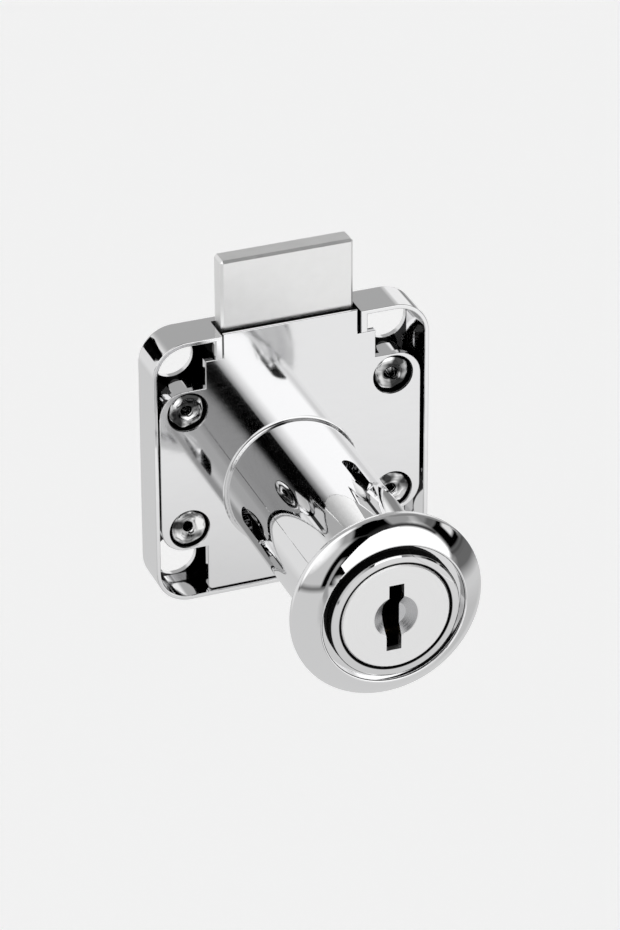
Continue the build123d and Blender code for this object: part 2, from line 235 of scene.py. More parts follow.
# %% [markdown]
# The room itself comes first: a grey ceiling, and walls that are paler or darker here and there.
# The lock mirrors them wherever no softbox or flag is in the way. Each line below hangs one card,
# and gives its azimuths, its elevations, its brightness and the softness of its edges.

# %% Walls and ceiling
card((-180, 180), (58, 100), 0.34, 10)
card((-120, -30), (4, 60), 0.58, 4)
card((-42, 62), (44, 62), 0.33, 6)
card((64, 130), (0, 70), 0.24, 8)
card((64, 134), (-16, 2), 0.14, 10)
card((66, 118), (-54, -30), 0.54, 10)
card((-108, -36), (-0.5, 4.5), 0.19, 4)
card((-45, 45), (12, 70), 0.42, 10, from_behind)
card((-60, -20), (-20, 26), 0.78, 8, from_behind)
card((24, 48), (-24, 24), 0.92, 6, from_behind)
print("walls hung", cards_hung)

# %% [markdown]
# The key light is a round softbox in front, to the right. Its black rim shows in the chrome as the
# dark arc that runs along the barrel and around the collar. Wider black card stands behind the rim
# on the left, so the arc is broad there and thin on the right. The light falls off a little towards
# its edge, as in a real softbox, which is why it is hung as three discs.

# %% Key light with its rim
KEY_LIGHT = (21.5, 5)
KEY_RADIUS = 42.5
RIM = (14, -2)
ARC_RADIUS = 57.3
KEY_BRIGHTNESS = 1.25
round_card(RIM, ARC_RADIUS, 0.0, 2.5, (-60, 12), (3, 50))
card((-24, 34), (48, 84), 0.0, 6)
round_card(KEY_LIGHT, KEY_RADIUS + 7, 0.02, 4, (-2, 32), (20, 90))
round_card(KEY_LIGHT, KEY_RADIUS + 5, 0.05, 3, (28, 90), (20, 90))
round_card(KEY_LIGHT, KEY_RADIUS - 3.7, 0.6, 4, elevations=(-2, 90))
round_card(KEY_LIGHT, KEY_RADIUS - 8, KEY_BRIGHTNESS, 7, elevations=(-2, 90))
round_card(KEY_LIGHT, KEY_RADIUS, KEY_BRIGHTNESS, 3, (14, 90), (-2, 90))
print("key light", 2 * KEY_RADIUS, "degrees across")

# %% [markdown]
# The other softboxes light the lock's sides, its lower half and the case's rim. Each one was hung
# where a pale patch in the picture is mirrored from.

# %% Other softboxes
round_card((-92, 43), 35, 1.12, 8)
card((-28, 2), (-12, 9), 0.95, 6)
card((2, 60), (-12, 0), 0.80, 8)
card((-6, 54), (-30.6, -10), 0.93, 3)
card((4, 40), (-46, -31.2), 0.62, 2)
card((-30, 4), (-46, -31.2), 0.32, 4)
card((10, 102), (-66, -54), 1.02, 7)
card((93, 104), (5, 19), 0.75, 4)
card((118, 126), (2, 36), 0.62, 5)
print("softboxes hung", cards_hung)

# %% [markdown]
# Flags are the dark cards. They go up last, so they cover the softboxes behind them. The strip is a
# grey ring just outside the black arc, on its left side only.

# %% Flags
STRIP_FROM, STRIP_TO = 47.0, 51
STRIP_BRIGHTNESS = 0.34
ring = band(distance_from(*RIM), STRIP_FROM, STRIP_TO, 1.5)
strip = all_of(sky, ring, band(elevation, -12, 27, 5), band(from_front, -60, -20, 5))
hang(strip, STRIP_BRIGHTNESS)
card((-38, -26), (-28, -9), 0.45, 8)
card((-28, -14), (11.5, 15), 0.0, 2)
card((67, 90), (3, 27), 0.0, 3)
card((67, 84), (27, 34), 0.12, 3)
card((80, 88), (10, 21), 0.8, 3)
card((64, 116), (-2, 3), 0.08, 4)
card((28, 44), (-15, -4), 0.25, 5, from_behind)
print("cards hung", cards_hung)

# %% [markdown]
# The picture's own background is an even, pale grey. It is what the camera sees past the lock, and
# it is kept apart from the cards, so that a view from any side has the same plain ground behind it.

# %% Background seen by the camera
def rays_of(tree, *kinds):
    """1 for rays of these kinds, 0 for all others."""
    path = tree.nodes.new("ShaderNodeLightPath")
    return any_of(tree, *[path.outputs[f"Is {kind} Ray"] for kind in kinds])


BACKDROP = 0.885
seen = rays_of(sky, "Camera", "Transmission")
plain = maths(sky, "MULTIPLY", seen, BACKDROP)
drawn = maths(sky, "MULTIPLY", opposite(sky, seen), brightness)
background = sky.nodes.new("ShaderNodeBackground")
background.inputs["Color"].default_value = (1, 1, 1, 1)
sky.links.new(maths(sky, "ADD", plain, drawn), background.inputs["Strength"])
output = sky.nodes.new("ShaderNodeOutputWorld")
sky.links.new(background.outputs[0], output.inputs["Surface"])
print("the studio takes", len(sky.nodes), "nodes")

# %% [markdown]
# One flag stands close to the lock instead of out in the room. The case's rounded top left corner
# has a black band across it, though the barrel, which mirrors the same direction, is white there.
# Only something near the corner can do that: a photographer clips a scrap of black card beside it.
# Both sheets in this step are real, flat meshes.

# %% Tool for a near sheet
def flat_card(name, middle, facing, outline):
    """A flat sheet that only mirrors see. The outline is in millimetres."""
    across = Vector((0, 0, 1)).cross(facing).normalized()
    along = facing.cross(across)
    corners = [middle + (across * a + along * b) * MM for a, b in outline]
    sheet = bpy.data.meshes.new(name)
    sheet.from_pydata(corners, [], [range(len(corners))])
    piece = bpy.data.objects.new(name, sheet)
    bpy.context.scene.collection.objects.link(piece)
    piece.visible_camera = False
    piece.visible_diffuse = False
    piece.visible_shadow = False
    print(name, "has", len(outline), "corners")
    return piece


def plain_paint(name, colour):
    """A material with no shine of its own. Gives it and its shader."""
    material = bpy.data.materials.new(name)
    material.use_nodes = True
    shader = material.node_tree.nodes["Principled BSDF"]
    shader.inputs["Base Color"].default_value = (*colour, 1)
    shader.inputs["Roughness"].default_value = 1.0
    shader.inputs["Specular IOR Level"].default_value = 0.0
    return material, shader


# %% Black card beside the corner
CORNER = Vector((-18.5, 3.2, 23.0)) * MM
CARD_WAY = Vector((-0.52, 0.84, 0.16)).normalized()
CARD_DISTANCE = 10 * MM
CARD_OUTLINE = ((-2.2, -2.6), (2.2, -2.6), (2.2, 2.6), (-2.2, 2.6))
BLACK_CARD = (0.002, 0.002, 0.002)
corner_flag = flat_card(
    "corner_flag", CORNER + CARD_WAY * CARD_DISTANCE, -CARD_WAY, CARD_OUTLINE
)
black, shader = plain_paint("black_card", BLACK_CARD)
corner_flag.data.materials.append(black)
print("black card", round(CARD_DISTANCE / MM), "mm from the corner")

# %% [markdown]
# The barrel and the collar mirror the same part of the studio, but the black arc that lies on the
# barrel lies further out on the collar. The two differ because a real softbox hangs close by, and
# each sees it from its own place. So a small lit sheet stands in front of the collar's upper left.
# Its curved outline is the inner edge of the arc, found by following the view from each point of
# the collar's highlight to where it crosses the sheet.

# %% Lit sheet in front of the collar
COLLAR_WAY = Vector((-0.113, -0.846, 0.521)).normalized()
SHEET_MIDDLE = Vector((-6.3, -48.3, 17.9)) * MM
SHEET_OUTLINE = (
    (-15, 8.4), (-8, 7.0), (-3, 4.8), (1, 1.6), (4, -1.4), (7.2, -4.6), (6.4, -5.9),
    (5.2, -8.2), (7.6, -11.2), (9.6, -14.4), (8, -15), (3, -9.5), (-2, -4), (-8, 1), (-15, 3),
)
lit_sheet = flat_card("lit_sheet", SHEET_MIDDLE, -COLLAR_WAY, SHEET_OUTLINE)
lit, shader = plain_paint("lit_sheet", (0, 0, 0))
shader.inputs["Emission Color"].default_value = (1, 1, 1, 1)
shader.inputs["Emission Strength"].default_value = KEY_BRIGHTNESS
lit_sheet.data.materials.append(lit)
print("lit sheet as bright as the key light,", KEY_BRIGHTNESS)

# %% [markdown]
# Every finish starts from the same shader, and differs in what is laid over it. These tools make
# the layers: a noise pattern, a value spread between two limits, a mask that is 1 on one side of a
# limit, and a relief that tilts the surface. All of them read Object coordinates, so a pattern
# stays where it is on the metal when a piece moves.

# %% A finish and its noise
def new_finish(name, colour, roughness, metallic=1.0):
    """A material with its colour and roughness on the shader's own sockets."""
    material = bpy.data.materials.new(name)
    material.use_nodes = True
    shader = material.node_tree.nodes["Principled BSDF"]
    shader.inputs["Base Color"].default_value = (*colour, 1)
    shader.inputs["Metallic"].default_value = metallic
    shader.inputs["Roughness"].default_value = roughness
    place = material.node_tree.nodes.new("ShaderNodeTexCoord").outputs["Object"]
    return material, material.node_tree, shader, place


def noise(tree, place, per_metre, detail=2.0, stretch=(1, 1, 1)):
    """A noise pattern with this many features to the metre, finer along the stretched axes."""
    mapping = tree.nodes.new("ShaderNodeMapping")
    mapping.inputs["Scale"].default_value = stretch
    tree.links.new(place, mapping.inputs["Vector"])
    pattern = tree.nodes.new("ShaderNodeTexNoise")
    pattern.inputs["Scale"].default_value = per_metre
    pattern.inputs["Detail"].default_value = detail
    tree.links.new(mapping.outputs[0], pattern.inputs["Vector"])
    return pattern.outputs["Fac"]


print("every pattern reads Object coordinates, in metres")


# %% Limits and masks
def spread(tree, value, low, high, start=0.3, end=0.7):
    """Stretches a pattern's middle range between two limits."""
    node = tree.nodes.new("ShaderNodeMapRange")
    for name, number in zip(("From Min", "From Max", "To Min", "To Max"), (start, end, low, high)):
        node.inputs[name].default_value = number
    tree.links.new(value, node.inputs["Value"])
    return node.outputs["Result"]


def beyond(tree, value, limit, softness):
    """1 where the value is above the limit, 0 where it is below, soft between."""
    return spread(tree, value, 0.0, 1.0, limit - softness / 2, limit + softness / 2)


def short_of(tree, value, limit, softness):
    """1 where the value is below the limit, 0 where it is above, soft between."""
    return opposite(tree, beyond(tree, value, limit, softness))


EDGE = 0.1 * MM
print("masks fade over", EDGE / MM, "mm at their edges")


# %% Relief and colour
def relief(tree, shader, height, depth, strength=1.0):
    """Tilts the surface by a height pattern this deep, on top of any relief that it has."""
    node = tree.nodes.new("ShaderNodeBump")
    earlier = shader.inputs["Normal"].links
    if earlier:
        tree.links.new(earlier[0].from_socket, node.inputs["Normal"])
    node.inputs["Strength"].default_value = strength
    node.inputs["Distance"].default_value = depth
    tree.links.new(height, node.inputs["Height"])
    tree.links.new(node.outputs["Normal"], shader.inputs["Normal"])


def blend_colour(tree, mask, first, second):
    """The first colour where the mask is 0, the second where it is 1.

    A Mix node has sockets for every kind of data. Inputs 6 and 7 and output 2 are its colours.
    """
    node = tree.nodes.new("ShaderNodeMix")
    node.data_type = "RGBA"
    tree.links.new(mask, node.inputs["Factor"])
    for colour, socket in zip((first, second), node.inputs[6:8]):
        connect(tree, colour if hasattr(colour, "links") else (*colour, 1), socket)
    return node.outputs[2]


def grey(level):
    """A colour with no tint."""
    return (level, level, level)


print("relief and colour tools are ready")


# %% Distances
def length(tree, across, updown):
    """The length of the straight line with these two sides."""
    squares = [maths(tree, "MULTIPLY", side, side) for side in (across, updown)]
    return maths(tree, "SQRT", maths(tree, "ADD", *squares))


def axes(tree, place):
    """Distances along X, Y and Z, and from the barrel's axis."""
    node = tree.nodes.new("ShaderNodeSeparateXYZ")
    tree.links.new(place, node.inputs[0])
    x, y, z = node.outputs
    return x, y, z, length(tree, x, z)


TRAY_CENTRE_Z = 4.5 * MM


def off_centre(tree, x, z):
    """Distances across and up or down from the tray's centre, the same on all four sides."""
    updown = maths(tree, "SUBTRACT", z, TRAY_CENTRE_Z)
    return maths(tree, "ABSOLUTE", x), maths(tree, "ABSOLUTE", updown)


def near(tree, place, corner, reach):
    """1 close to the four axes that mirror this corner, 0 further away."""
    across, updown = off_centre(tree, *place)
    off_x = maths(tree, "SUBTRACT", across, corner[0])
    off_z = maths(tree, "SUBTRACT", updown, corner[1])
    return short_of(tree, length(tree, off_x, off_z), reach, EDGE)


print("distances are measured from the barrel's axis")

# %% [markdown]
# The plate and the barrel are one zinc casting, polished on a wheel and plated with bright chrome.
# The finish is a clear mirror, but not a perfect one: the plating keeps a faint swell from the
# casting, a few millimetres long and a few thousandths high, and polishing leaves a haze that comes
# and goes. The flat of the plate is brushed a little, so what it mirrors grows soft with distance.
# The polish doesn't reach into the seats, the barrel's bore, the gap around its nose or the plate's
# top edge in front of the bolt, so those stay dull. Their near-black colour is painted shade, for
# the shade in these recesses and gaps and the bolt's shadow on the plate's top edge.

# %% Mirror chrome
CHROME = (0.90, 0.90, 0.905)
POLISHED = 0.03
HAZE_PER_METRE = 420
SWELL_PER_METRE = 260
SWELL_DEPTH = 0.0020 * MM


def chrome(name, colour, haze, swell_depth, draw=(1, 1, 1)):
    """Bright plating, with its haze and its swell."""
    material, tree, shader, place = new_finish(name, colour, POLISHED)
    clouds = noise(tree, place, HAZE_PER_METRE, detail=4.0, stretch=draw)
    tree.links.new(spread(tree, clouds, *haze), shader.inputs["Roughness"])
    relief(tree, shader, noise(tree, place, SWELL_PER_METRE), swell_depth)
    return material, tree, shader, place


mirror, tree, shader, place = chrome("mirror_chrome", CHROME, (0.015, 0.05), SWELL_DEPTH)
x, y, z, radius = axes(tree, place)
print("the swell is", round(SWELL_DEPTH / MM, 4), "mm deep")

# %% Where the polish doesn't reach, and shade is painted
PLATE_FRONT = 0.5 * MM
PLATE_TOP = 24.5 * MM
BARREL_FOOT = 9.7 * MM
BORE_RADIUS = 8.0 * MM
NOSE_RADIUS = 9.0 * MM
NOSE_BACK = -35.8 * MM
POST_X = 14.9 * MM
POST_Z = 9.1 * MM
SEAT_REACH = 3.02 * MM

in_bore = short_of(tree, radius, BORE_RADIUS, EDGE)
outside_barrel = beyond(tree, radius, BARREL_FOOT, EDGE)
nose_side = all_of(
    tree,
    beyond(tree, radius, NOSE_RADIUS, 0.08 * MM),
    opposite(tree, outside_barrel),
    short_of(tree, y, NOSE_BACK, EDGE),
)
in_seat = all_of(
    tree,
    near(tree, (x, z), (POST_X, POST_Z), SEAT_REACH),
    beyond(tree, y, PLATE_FRONT + 0.25 * MM, 0.2 * MM),
)
top_edge = all_of(
    tree,
    beyond(tree, z, PLATE_TOP - 0.05 * MM, 0.04 * MM),
    beyond(tree, y, PLATE_FRONT + 0.35 * MM, EDGE),
)
# These four places get a near-black colour below, which is painted shade, and a real dull
# roughness.
dull_and_painted_shade = any_of(tree, in_bore, nose_side, in_seat, top_edge)
print("four places stay dull")

# %% Brushed plate, and dull places with painted shade
PLATE_TONE = (0.84, 0.84, 0.845)
# Near black: painted shade for the recesses, gaps and top edge, not the colour of the metal.
PAINTED_SHADE_TONE = grey(0.006)
DULL_ROUGHNESS = 0.9

on_plate = all_of(tree, outside_barrel, beyond(tree, y, PLATE_FRONT - 0.2 * MM, EDGE))
plate_tone = blend_colour(tree, on_plate, CHROME, PLATE_TONE)
tree.links.new(blend_colour(tree, dull_and_painted_shade, plate_tone, PAINTED_SHADE_TONE), shader.inputs["Base Color"])
haze = shader.inputs["Roughness"].links[0].from_socket
brushed = noise(tree, place, 1500, detail=3.0, stretch=(0.25, 1, 1.6))
plate_haze = maths(tree, "MULTIPLY", on_plate, spread(tree, brushed, low=0.055, high=0.08))
dull_haze = maths(tree, "MULTIPLY", dull_and_painted_shade, DULL_ROUGHNESS)
tree.links.new(any_of(tree, haze, plate_haze, dull_haze), shader.inputs["Roughness"])
print("mirror chrome has", len(tree.nodes), "nodes")

# %% [markdown]
# The flute on the barrel is cast flat, but the polishing wheel dishes its floor, so its reflection
# runs from pale to grey and back across it. The dish is a few hundredths of a millimetre deep, too
# shallow to model: the material leans the surface's direction towards the flute's middle instead.

# %% Place of the flute's floor
FLUTE_TURN = math.radians(48.0)
FLUTE_LEAN = math.radians(3.7)
FLOOR_RADIUS = 9.35 * MM
FLUTE_END = -16.4 * MM
DISH_RADIUS = 22 * MM

outwards = Vector((math.cos(FLUTE_TURN), 0, math.sin(FLUTE_TURN)))
FLUTE_FOOT = outwards * FLOOR_RADIUS + Vector((0, FLUTE_END, 0))
FLUTE_OUT = outwards * math.cos(FLUTE_LEAN) - Vector((0, math.sin(FLUTE_LEAN), 0))
FLUTE_ACROSS = Vector((-math.sin(FLUTE_TURN), 0, math.cos(FLUTE_TURN)))

from_foot = vector_maths(tree, "SUBTRACT", place, FLUTE_FOOT)
off_floor = maths(tree, "ABSOLUTE", vector_maths(tree, "DOT_PRODUCT", from_foot, FLUTE_OUT))
on_floor = maths(
    tree,
    "SUBTRACT",
    short_of(tree, off_floor, 0.03 * MM, 0.02 * MM),
    beyond(tree, y, FLUTE_END - 0.05 * MM, 0.02 * MM),
    clamp=True,
)
print("the flute leans in by", round(math.degrees(FLUTE_LEAN), 1), "degrees")

# %% Dish in the flute's floor
sideways = vector_maths(tree, "DOT_PRODUCT", from_foot, FLUTE_ACROSS)
lean = maths(tree, "MULTIPLY", on_floor, maths(tree, "MULTIPLY", sideways, -1 / DISH_RADIUS))
lean_way = vector_maths(tree, "SCALE", FLUTE_ACROSS, lean)
level = shader.inputs["Normal"].links[0].from_socket
dished = vector_maths(tree, "NORMALIZE", vector_maths(tree, "ADD", level, lean_way))
tree.links.new(dished, shader.inputs["Normal"])
print("flute dished to a radius of", round(DISH_RADIUS / MM), "mm")

# %% [markdown]
# The tray is the same zinc and chrome, but cheaper work: it is polished in long strokes along its
# walls, and the swell is a little deeper. Stretching the haze along one axis draws the strokes. The
# inside of the tray behind the cover and the sides of the notch beside the bolt are painted near
# black, as painted shade for these recesses. The screw holes' edges and the posts' ends, rubbed
# bright, are spared from the painted shade by their distance from the four axes.

# %% Chrome on the tray
TRAY_TONE = (0.88, 0.88, 0.885)
tray, tree, shader, place = chrome(
    "tray_chrome", TRAY_TONE, (0.03, 0.09), 1.5 * SWELL_DEPTH, draw=(0.15, 3, 1)
)
x, y, z = axes(tree, place)[:3]
across, updown = off_centre(tree, x, z)
furthest = maths(tree, "MAXIMUM", across, updown)
print("the tray's swell is", round(1.5 * SWELL_DEPTH / MM, 4), "mm deep")

# %% Painted shade in the tray
INSIDE_HALF = 18.75 * MM
INSIDE_FLOOR = 5.3 * MM
POST_REACH = 2.85 * MM
HOLE_OUT = 15.5 * MM
HOLE_REACH = 3.15 * MM
NOTCH_HALF = 9.95 * MM
NOTCH_BACK = 4.4 * MM
NOTCH_FOOT = 18.0 * MM

inside = all_of(
    tree,
    short_of(tree, furthest, INSIDE_HALF, EDGE),
    beyond(tree, y, 0.5 * MM, 0.4 * MM),
    short_of(tree, y, INSIDE_FLOOR + 0.4 * MM, EDGE),
)
at_post = near(tree, (x, z), (POST_X, POST_Z), POST_REACH)
at_hole = near(tree, (x, z), (HOLE_OUT, HOLE_OUT), HOLE_REACH)
# Inside the tray, away from the posts and screw holes, the colour is painted shade.
painted_shade_inside = all_of(tree, inside, opposite(tree, any_of(tree, at_post, at_hole)))
beside_bolt = all_of(
    tree,
    short_of(tree, across, NOTCH_HALF + 0.05 * MM, 0.04 * MM),
    short_of(tree, y, NOTCH_BACK, EDGE),
    beyond(tree, z, NOTCH_FOOT, EDGE),
)
dark = any_of(tree, painted_shade_inside, beside_bolt)
print("the tray is dark inside and beside the bolt")

# %% Tones of the tray and its heads
# Near black: painted shade for the tray's inside and the notch's sides, not the metal's colour.
TRAY_SHADE_TONE = grey(0.03)
HEAD_DARK = grey(0.05)
HEAD_BRIGHT = grey(0.92)
on_head = all_of(tree, inside, at_post)
# The heads' tone changes at random between near black and bright.
head_blotches = spread(tree, noise(tree, place, 420, detail=1.5), 0, 1, start=0.44, end=0.6)
head_tone = blend_colour(tree, head_blotches, HEAD_DARK, HEAD_BRIGHT)
plated_and_shaded = blend_colour(tree, dark, TRAY_TONE, TRAY_SHADE_TONE)
tree.links.new(blend_colour(tree, on_head, plated_and_shaded, head_tone), shader.inputs["Base Color"])
print("the tray's chrome has", len(tree.nodes), "nodes")

# %% [markdown]
# The collar is a separate turned ring. It is the best polished piece, so it has the barrel's chrome
# with no brushing and no dull places.

# %% Chrome on the collar
collar, tree, shader, place = chrome("collar_chrome", CHROME, (0.02, 0.05), SWELL_DEPTH)
print("the collar's chrome has", len(tree.nodes), "nodes")

# %% [markdown]
# The bolt is stamped from steel, tumbled with grit until its edges are soft, and nickel plated. The
# grit leaves a fine even grain, so the bolt is bright but shows no image. The grain could be made
# of thousands of modelled dents. A fine noise as relief is simpler and looks the same from a hand's
# width.

# %% Satin nickel on the bolt
NICKEL_GREY = (0.95, 0.95, 0.945)
NICKEL_PALE = (0.99, 0.99, 0.985)
satin, tree, shader, place = new_finish("satin_nickel", (0.97, 0.97, 0.965), 0.4)
mottle = noise(tree, place, 500, detail=5.0)
tree.links.new(spread(tree, mottle, low=0.28, high=0.36), shader.inputs["Roughness"])
nickel_tone = blend_colour(tree, spread(tree, mottle, 0, 1), NICKEL_GREY, NICKEL_PALE)
tree.links.new(nickel_tone, shader.inputs["Base Color"])
grain = noise(tree, place, 9000, stretch=(1, 1, 0.35))
relief(tree, shader, grain, depth=0.004 * MM, strength=0.6)
print("satin nickel has", len(tree.nodes), "nodes")

# %% [markdown]
# The plug's face is turned on a lathe and blasted to a pale, flat satin. The dimple that guides the
# key is rubbed smoother by it, and its darker grey is painted shade for the shallow recess. Behind
# the face the plug is bare zinc, and the keyway's walls are painted near black as shade down in the
# slot. One material covers them all, with masks by depth and place.

# %% Parts of the plug
PLUG_FACE = -38.0 * MM
KEYWAY_REACH = 5.2 * MM
DIMPLE_RADIUS = 3.4 * MM

plug_finish, tree, shader, place = new_finish("satin_zinc", grey(0.9), 0.35)
x, y, z, radius = axes(tree, place)
behind_face = beyond(tree, y, PLUG_FACE + 1.0 * MM, 0.15 * MM)
in_keyway = all_of(tree, behind_face, short_of(tree, radius, KEYWAY_REACH, EDGE))
in_dimple = all_of(
    tree,
    beyond(tree, y, PLUG_FACE + 0.04 * MM, 0.04 * MM),
    short_of(tree, radius, DIMPLE_RADIUS, EDGE),
)
print("the dimple is", round(2 * DIMPLE_RADIUS / MM, 1), "mm wide")

# %% Satin face, bare zinc and painted shade of the plug
TURNING_RINGS = 6000
ZINC_DARK = (0.30, 0.30, 0.31)
ZINC_PALE = (0.48, 0.48, 0.49)
# The next two tones are painted shade: near black down in the keyway's slot, and a darker grey in
# the dimple's recess.
KEYWAY_SHADE_TONE = grey(0.03)
DIMPLE_SHADE_TONE = (0.62, 0.62, 0.63)
turned = tree.nodes.new("ShaderNodeTexNoise")
turned.noise_dimensions = "1D"
turned.inputs["Scale"].default_value = TURNING_RINGS
tree.links.new(radius, turned.inputs["W"])
rings = turned.outputs["Fac"]

zinc_clouds = noise(tree, place, 700, detail=5.0)
zinc_tone = blend_colour(tree, zinc_clouds, ZINC_DARK, ZINC_PALE)
zinc_and_keyway_shade = blend_colour(tree, in_keyway, zinc_tone, KEYWAY_SHADE_TONE)
face_tone = blend_colour(tree, spread(tree, rings, 0, 1), grey(0.97), grey(0.99))
face_tone = blend_colour(tree, in_dimple, face_tone, DIMPLE_SHADE_TONE)
tree.links.new(blend_colour(tree, behind_face, face_tone, zinc_and_keyway_shade), shader.inputs["Base Color"])

RUBBED_SMOOTHER = 0.12
smoother = maths(tree, "MULTIPLY", in_dimple, RUBBED_SMOOTHER)
roughness = maths(tree, "SUBTRACT", spread(tree, rings, low=0.36, high=0.44), smoother)
tree.links.new(roughness, shader.inputs["Roughness"])
relief(tree, shader, noise(tree, place, 7000), depth=0.003 * MM, strength=0.5)
print("plug finish has", len(tree.nodes), "nodes")

# %% [markdown]
# The wafers and the retaining wafer are stamped from brass strip. The strip's rolling marks run one
# way, the tarnish comes in clouds, and handling polishes it off again in spots. The drive pin is
# drawn steel with marks along its length, and the spring wire is darker, from its heat treatment.

# %% Brass of the wafers
BRASS_BRIGHT = (0.80, 0.61, 0.29)
BRASS_TARNISHED = (0.52, 0.37, 0.17)
brass, tree, shader, place = new_finish("wafer_brass", (0.78, 0.58, 0.26), 0.3)
clouds = noise(tree, place, 350, detail=6.0)
rolling = noise(tree, place, 5000, stretch=(0.05, 1, 1))
brass_tone = blend_colour(tree, spread(tree, clouds, 0, 1), BRASS_BRIGHT, BRASS_TARNISHED)
tree.links.new(brass_tone, shader.inputs["Base Color"])
tree.links.new(spread(tree, clouds, low=0.24, high=0.42), shader.inputs["Roughness"])
relief(tree, shader, rolling, depth=0.002 * MM, strength=0.6)
print("brass has", len(tree.nodes), "nodes")

# %% Drawn steel of the pin
steel, tree, shader, place = new_finish("steel", (0.58, 0.58, 0.59), 0.25)
drawn_marks = noise(tree, place, 6000, detail=3.0, stretch=(1, 0.04, 1))
tree.links.new(spread(tree, drawn_marks, low=0.2, high=0.34), shader.inputs["Roughness"])
relief(tree, shader, drawn_marks, depth=0.002 * MM, strength=0.6)
print("steel has", len(tree.nodes), "nodes")

# %% Spring wire
WIRE_BRIGHT = (0.42, 0.42, 0.45)
WIRE_SCALE = (0.24, 0.23, 0.25)
wire, tree, shader, place = new_finish("spring_steel", (0.36, 0.36, 0.39), 0.28)
scale = noise(tree, place, 2500, detail=4.0)
wire_tone = blend_colour(tree, spread(tree, scale, 0, 1), WIRE_BRIGHT, WIRE_SCALE)
tree.links.new(wire_tone, shader.inputs["Base Color"])
tree.links.new(spread(tree, scale, low=0.22, high=0.4), shader.inputs["Roughness"])
print("spring wire has", len(tree.nodes), "nodes")

# %% [markdown]
# Each solid now gets the finish of its real metal. The solids' shapes and places come from the CAD
# model and aren't touched here. The springs' sleeves get theirs too, though coils replace them
# below.

# %% Every solid gets its finish
FINISHES = {
    "case": tray,
    "cover_and_barrel": mirror,
    "escutcheon": collar,
    "plug": plug_finish,
    "bolt": satin,
    "drive_pin": steel,
    "retaining_wafer": brass,
    "retainer_spring": wire,
}
for number in range(1, 7):
    FINISHES[f"wafer_{number}"] = brass
    FINISHES[f"wafer_spring_{number}"] = wire
for name, solid in solids.items():
    solid.data.materials.clear()
    solid.data.materials.append(FINISHES[name])
print("finishes given to", len(FINISHES), "solids")

# %% [markdown]
# In the solids each spring is a plain sleeve of the right outer size. The real ones are coils of
# fine wire, one beside each wafer, all the same and evenly spaced. That is work for Geometry Nodes:
# one coil is drawn as a spiral with a round section, and a row of points repeats it. The tree has
# named inputs for its sizes, so the same tree also makes the single stronger coil of the retaining
# wafer.

# %% Tools for a tree
def new_tree(name, inputs):
    """A tree with these named inputs. Gives the tree and its input sockets."""
    tree = bpy.data.node_groups.new(name, "GeometryNodeTree")
    tree.is_modifier = True
    for label, kind in inputs.items():
        tree.interface.new_socket(label, in_out="INPUT", socket_type="NodeSocket" + kind)
    tree.interface.new_socket("Geometry", in_out="OUTPUT", socket_type="NodeSocketGeometry")
    return tree, tree.nodes.new("NodeGroupInput").outputs


def step(tree, kind, **values):
    """Adds a node and gives its first result.

    A name in small letters sets an option of the node. Any other name feeds the input that it
    names, with an underscore for each space.
    """
    node = tree.nodes.new(kind)
    for name, value in values.items():
        if name.islower():
            setattr(node, name, value)
        else:
            connect(tree, value, node.inputs[name.replace("_", " ")])
    return node.outputs[0]


def close_tree(tree, mesh, finish):
    """Shades the mesh smooth, gives it its finish and makes it the tree's result."""
    smooth = step(tree, "GeometryNodeSetShadeSmooth", Geometry=mesh)
    painted = step(tree, "GeometryNodeSetMaterial", Geometry=smooth, Material=finish)
    result = tree.nodes.new("NodeGroupOutput")
    tree.links.new(painted, result.inputs["Geometry"])
    print(tree.name, "has", len(tree.nodes), "nodes")


# %% Inputs of the coil tree
COIL_INPUTS = {
    "Coil radius": "Float",
    "Wire radius": "Float",
    "Height": "Float",
    "Turns": "Float",
    "Count": "Int",
    "First foot": "Vector",
    "Step": "Vector",
    "Finish": "Material",
}
coil_tree, given = new_tree("row_of_coils", COIL_INPUTS)
print("a row of coils has", len(COIL_INPUTS), "inputs")

# %% One coil, and the row of them
POINTS_PER_TURN = 20
POINTS_ROUND_THE_WIRE = 10
spiral = step(
    coil_tree,
    "GeometryNodeCurveSpiral",
    Resolution=POINTS_PER_TURN,
    Rotations=given["Turns"],
    Start_Radius=given["Coil radius"],
    End_Radius=given["Coil radius"],
    Height=given["Height"],
)
section = step(
    coil_tree,
    "GeometryNodeCurvePrimitiveCircle",
    Resolution=POINTS_ROUND_THE_WIRE,
    Radius=given["Wire radius"],
)
coil = step(
    coil_tree, "GeometryNodeCurveToMesh", Curve=spiral, Profile_Curve=section, Fill_Caps=True
)
row = step(
    coil_tree,
    "GeometryNodeMeshLine",
    mode="OFFSET",
    Count=given["Count"],
    Start_Location=given["First foot"],
    Offset=given["Step"],
)
coils = step(coil_tree, "GeometryNodeInstanceOnPoints", Points=row, Instance=coil)
real = step(coil_tree, "GeometryNodeRealizeInstances", Geometry=coils)
close_tree(coil_tree, real, given["Finish"])

# %% [markdown]
# A tree is run on an empty mesh and its result is kept as a plain mesh. The tree could stay on the
# object, but a plain mesh can be measured, moved with a joint and exported like any other piece.


